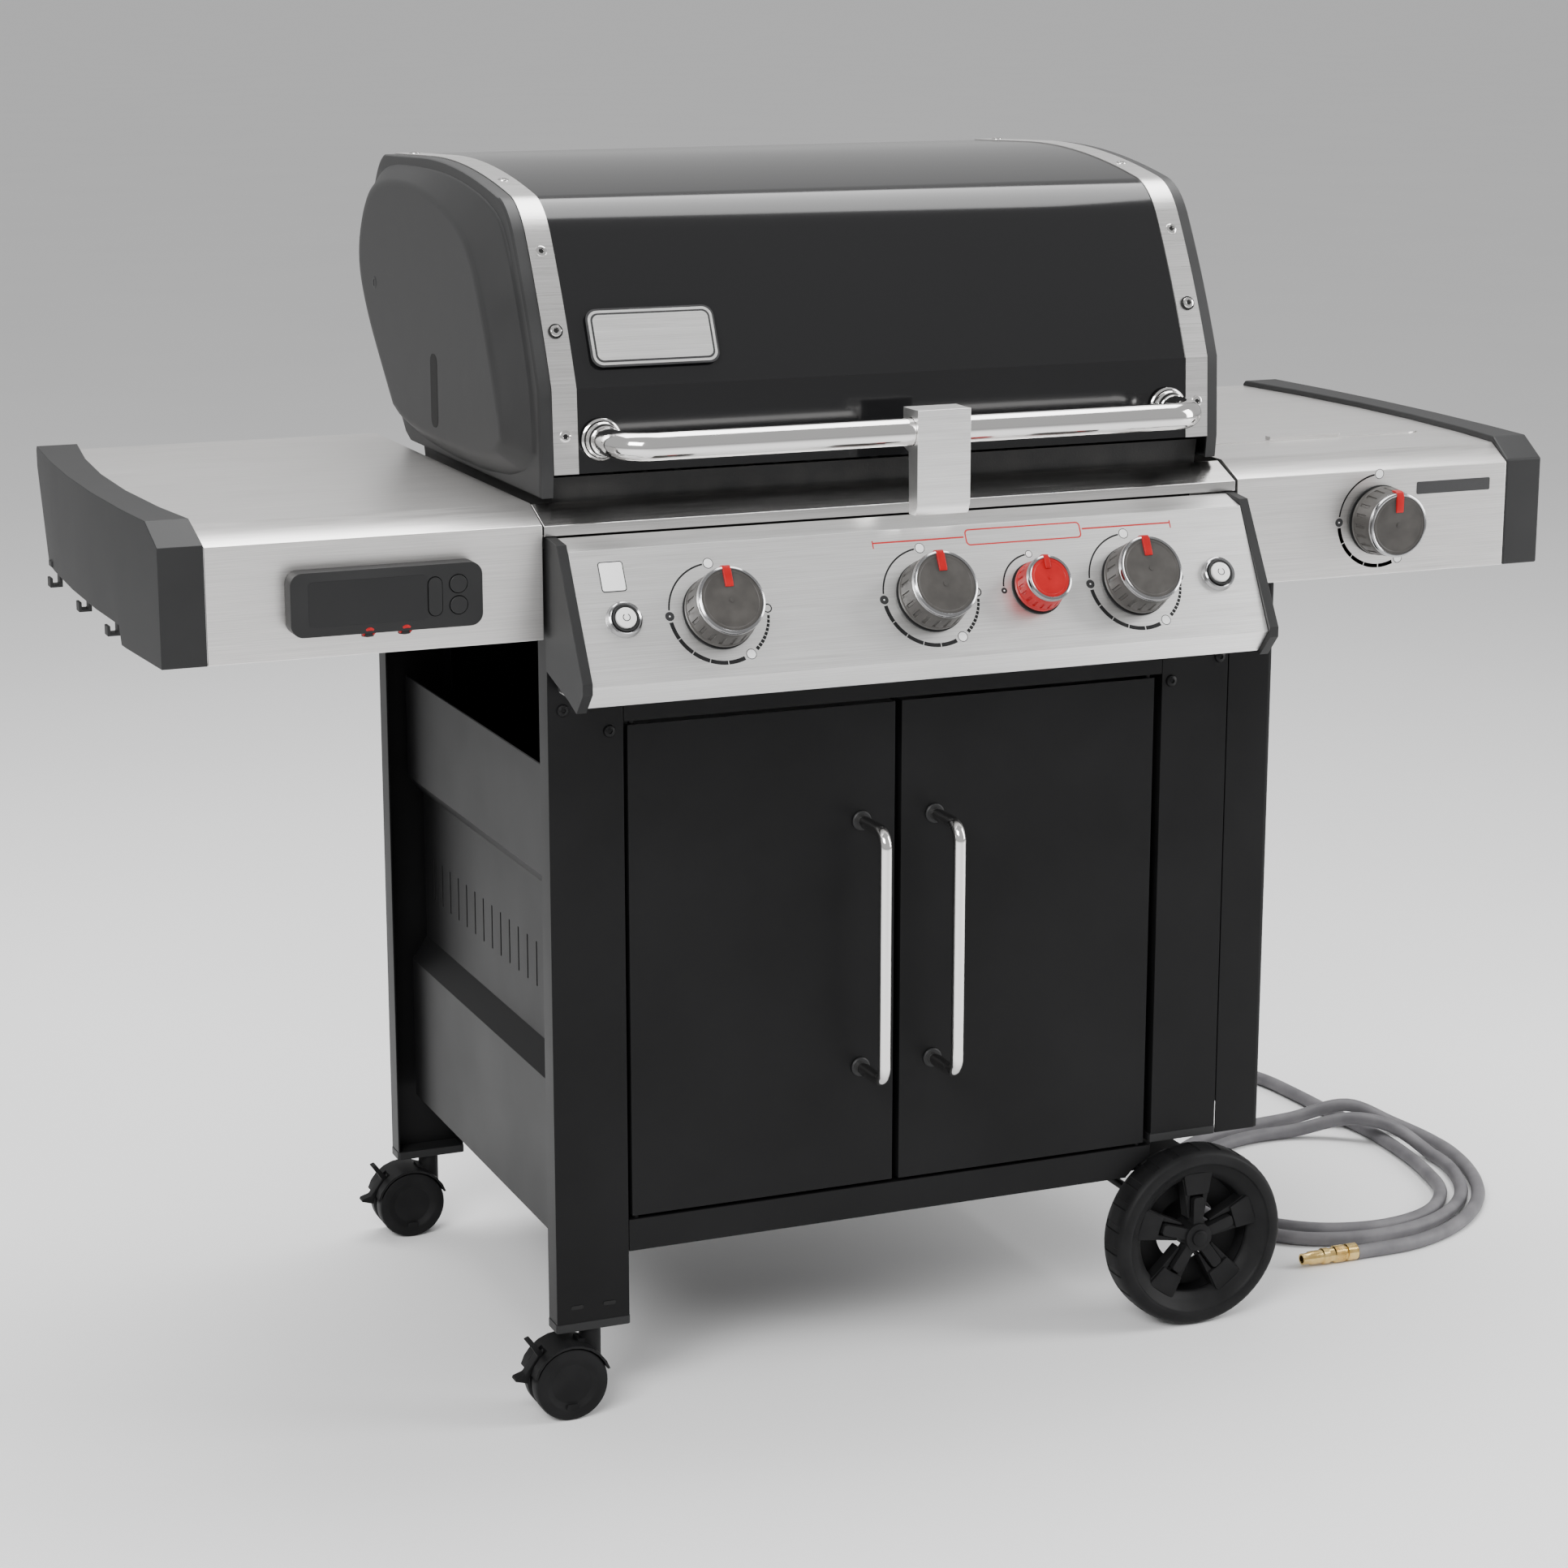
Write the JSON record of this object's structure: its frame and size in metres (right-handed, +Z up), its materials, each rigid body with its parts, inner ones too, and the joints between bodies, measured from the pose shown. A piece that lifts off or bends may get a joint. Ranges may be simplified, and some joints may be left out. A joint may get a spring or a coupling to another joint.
{
  "type": "gas barbecue grill",
  "caption": "Gas barbecue on a two-door cabinet cart with a hinged lid, slanted control panel, folded side tables, a flush side burner, casters, wheels and a coiled gas hose.",
  "frame": {"origin": "on the floor, under the middle of the box round the grill without its hose", "axes": "+X to the right of someone facing the control panel, +Y from the control panel to the back, +Z up"},
  "size_m": [1.6416, 0.8857, 1.223],
  "materials": {
    "enamel": "gloss black enamel",
    "cast_end": "cast aluminium in matte dark grey paint",
    "stainless": "brushed stainless steel",
    "chrome": "polished stainless tube",
    "black_steel": "satin black powder coat",
    "plastic": "textured dark grey moulded plastic",
    "knob_grey": "warm grey satin plastic",
    "red_plastic": "red satin plastic",
    "white_plastic": "white gloss plastic",
    "tyre": "moulded black plastic with a tread",
    "cast_iron": "porcelain coated, matte black",
    "bright_steel": "plain stainless, heat stained",
    "hose_rubber": "grey rubber hose",
    "brass": "machined brass"
  },
  "bodies": {
    "cart": {"left_table": "stainless", "right_table": "stainless", "front_shelf": "stainless", "control_panel": "stainless", "leg_front_left": "black_steel", "leg_rear_left": "black_steel", "leg_front_right": "black_steel", "leg_rear_right": "black_steel", "side_panel_left": "black_steel", "side_panel_right": "black_steel", "bottom_pan": "black_steel", "front_header": "black_steel", "rear_panel": "black_steel", "wheel_axle": "black_steel", "control_box": "plastic", "left_end_cap": "plastic", "right_end_cap": "plastic", "display_housing": "plastic", "firebox": "cast_iron", "cooking_grate": "cast_iron", "side_burner": "cast_iron", "burner_set": "bright_steel", "heat_tents": "bright_steel", "warming_rack": "bright_steel", "gas_hose": "hose_rubber", "hose_connector": "brass"},
    "lid": {"lid_skin": "enamel", "lid_end_left": "cast_end", "lid_end_right": "cast_end", "lid_handle": "chrome", "handle_light": "stainless"},
    "door_left": {"door_left": "black_steel", "door_handle_left": "chrome"},
    "door_right": {"door_right": "black_steel", "door_handle_right": "chrome"},
    "stem_left": {"valve_stem_left": "brass"},
    "knob_left": {"knob_left": "knob_grey"},
    "stem_middle": {"valve_stem_middle": "brass"},
    "knob_middle": {"knob_middle": "knob_grey"},
    "stem_sear": {"valve_stem_sear": "brass"},
    "knob_sear": {"knob_sear": "red_plastic"},
    "stem_right": {"valve_stem_right": "brass"},
    "knob_right": {"knob_right": "knob_grey"},
    "stem_side": {"valve_stem_side": "brass"},
    "knob_side": {"knob_side": "knob_grey"},
    "igniter_button": {"igniter_button": "white_plastic"},
    "light_button": {"light_button": "white_plastic"},
    "rocker_key": {"rocker_key": "plastic"},
    "upper_key": {"upper_key": "plastic"},
    "lower_key": {"lower_key": "plastic"},
    "side_burner_lid": {"side_burner_lid": "stainless"},
    "drip_tray": {"drip_tray": "bright_steel"},
    "caster_swivel_front": {"caster_hood_front": "plastic"},
    "caster_wheels_front": {"caster_wheels_front": "plastic"},
    "caster_brake_front": {"brake_lever_front": "plastic"},
    "wheel_front": {"wheel_front": "tyre"},
    "caster_swivel_rear": {"caster_hood_rear": "plastic"},
    "caster_wheels_rear": {"caster_wheels_rear": "plastic"},
    "caster_brake_rear": {"brake_lever_rear": "plastic"},
    "wheel_rear": {"wheel_rear": "tyre"}
  },
  "joints": [
    {"name": "lid_hinge", "type": "hinge", "parent": "cart", "child": "lid", "pos_m": [0, 0.2165, 1.043], "axis": [-1, 0, 0], "range_deg": [0, 80]},
    {"name": "door_left_hinge", "type": "hinge", "parent": "cart", "child": "door_left", "pos_m": [-0.281, -0.237, 0.454], "axis": [0, 0, -1], "range_deg": [0, 105]},
    {"name": "door_right_hinge", "type": "hinge", "parent": "cart", "child": "door_right", "pos_m": [0.281, -0.237, 0.454], "axis": [0, 0, 1], "range_deg": [0, 105]},
    {"name": "knob_left_push", "type": "slide", "parent": "cart", "child": "stem_left", "axis": [0, 0.8784, -0.4779], "range_m": [0, 0.003], "stiffness_N_per_m": 1500, "springref_m": -0.002},
    {"name": "knob_left_turn", "type": "hinge", "parent": "stem_left", "child": "knob_left", "pos_m": [-0.22, -0.31595, 0.82211], "axis": [0, -0.8784, 0.4779], "range_deg": [0, 225]},
    {"name": "knob_middle_push", "type": "slide", "parent": "cart", "child": "stem_middle", "axis": [0, 0.8784, -0.4779], "range_m": [0, 0.003], "stiffness_N_per_m": 1500, "springref_m": -0.002},
    {"name": "knob_middle_turn", "type": "hinge", "parent": "stem_middle", "child": "knob_middle", "pos_m": [0, -0.31595, 0.82211], "axis": [0, -0.8784, 0.4779], "range_deg": [0, 225]},
    {"name": "knob_sear_push", "type": "slide", "parent": "cart", "child": "stem_sear", "axis": [0, 0.8784, -0.4779], "range_m": [0, 0.003], "stiffness_N_per_m": 1500, "springref_m": -0.002},
    {"name": "knob_sear_turn", "type": "hinge", "parent": "stem_sear", "child": "knob_sear", "pos_m": [0.114, -0.31595, 0.82211], "axis": [0, -0.8784, 0.4779], "range_deg": [0, 225]},
    {"name": "knob_right_push", "type": "slide", "parent": "cart", "child": "stem_right", "axis": [0, 0.8784, -0.4779], "range_m": [0, 0.003], "stiffness_N_per_m": 1500, "springref_m": -0.002},
    {"name": "knob_right_turn", "type": "hinge", "parent": "stem_right", "child": "knob_right", "pos_m": [0.222, -0.31595, 0.82211], "axis": [0, -0.8784, 0.4779], "range_deg": [0, 225]},
    {"name": "knob_side_push", "type": "slide", "parent": "cart", "child": "stem_side", "axis": [0, 1, 0], "range_m": [0, 0.003], "stiffness_N_per_m": 1500, "springref_m": -0.002},
    {"name": "knob_side_turn", "type": "hinge", "parent": "stem_side", "child": "knob_side", "pos_m": [0.541, -0.2515, 0.853], "axis": [0, -1, 0], "range_deg": [0, 180]},
    {"name": "igniter_button_press", "type": "slide", "parent": "cart", "child": "igniter_button", "axis": [0, 0.8784, -0.4779], "range_m": [0, 0.003], "stiffness_N_per_m": 500, "springref_m": -0.001},
    {"name": "light_button_press", "type": "slide", "parent": "cart", "child": "light_button", "axis": [0, 0.8784, -0.4779], "range_m": [0, 0.003], "stiffness_N_per_m": 500, "springref_m": -0.001},
    {"name": "rocker_key_rock", "type": "hinge", "parent": "cart", "child": "rocker_key", "pos_m": [-0.484, -0.269, 0.849], "axis": [1, 0, 0], "range_deg": [-4, 4], "stiffness_Nm_per_rad": 0.15},
    {"name": "upper_key_press", "type": "slide", "parent": "cart", "child": "upper_key", "axis": [0, 1, 0], "range_m": [0, 0.001], "stiffness_N_per_m": 400, "springref_m": -0.001},
    {"name": "lower_key_press", "type": "slide", "parent": "cart", "child": "lower_key", "axis": [0, 1, 0], "range_m": [0, 0.001], "stiffness_N_per_m": 400, "springref_m": -0.001},
    {"name": "caster_front_swivel", "type": "hinge", "parent": "cart", "child": "caster_swivel_front", "pos_m": [-0.32875, -0.23, 0.08], "axis": [0, 0, 1], "continuous": true},
    {"name": "caster_front_roll", "type": "hinge", "parent": "caster_swivel_front", "child": "caster_wheels_front", "pos_m": [-0.35475, -0.23, 0.038], "axis": [0, 1, 0], "continuous": true},
    {"name": "caster_front_brake", "type": "hinge", "parent": "caster_swivel_front", "child": "caster_brake_front", "pos_m": [-0.38575, -0.23, 0.065], "axis": [0, 1, 0], "range_deg": [-6, 6]},
    {"name": "caster_rear_swivel", "type": "hinge", "parent": "cart", "child": "caster_swivel_rear", "pos_m": [-0.32875, 0.3225, 0.08], "axis": [0, 0, 1], "continuous": true},
    {"name": "caster_rear_roll", "type": "hinge", "parent": "caster_swivel_rear", "child": "caster_wheels_rear", "pos_m": [-0.35475, 0.3225, 0.038], "axis": [0, 1, 0], "continuous": true},
    {"name": "caster_rear_brake", "type": "hinge", "parent": "caster_swivel_rear", "child": "caster_brake_rear", "pos_m": [-0.38575, 0.3225, 0.065], "axis": [0, 1, 0], "range_deg": [-6, 6]},
    {"name": "wheel_front_roll", "type": "hinge", "parent": "cart", "child": "wheel_front", "pos_m": [0.343, -0.2525, 0.098], "axis": [0, 1, 0], "continuous": true},
    {"name": "wheel_rear_roll", "type": "hinge", "parent": "cart", "child": "wheel_rear", "pos_m": [0.343, 0.345, 0.098], "axis": [0, 1, 0], "continuous": true},
    {"name": "side_burner_lid_hinge", "type": "hinge", "parent": "cart", "child": "side_burner_lid", "pos_m": [0.537, 0.1995, 0.922], "axis": [-1, 0, 0], "range_deg": [0, 95]},
    {"name": "drip_tray_slide", "type": "slide", "parent": "cart", "child": "drip_tray", "axis": [0, 1, 0], "range_m": [0, 0.3]}
  ]
}
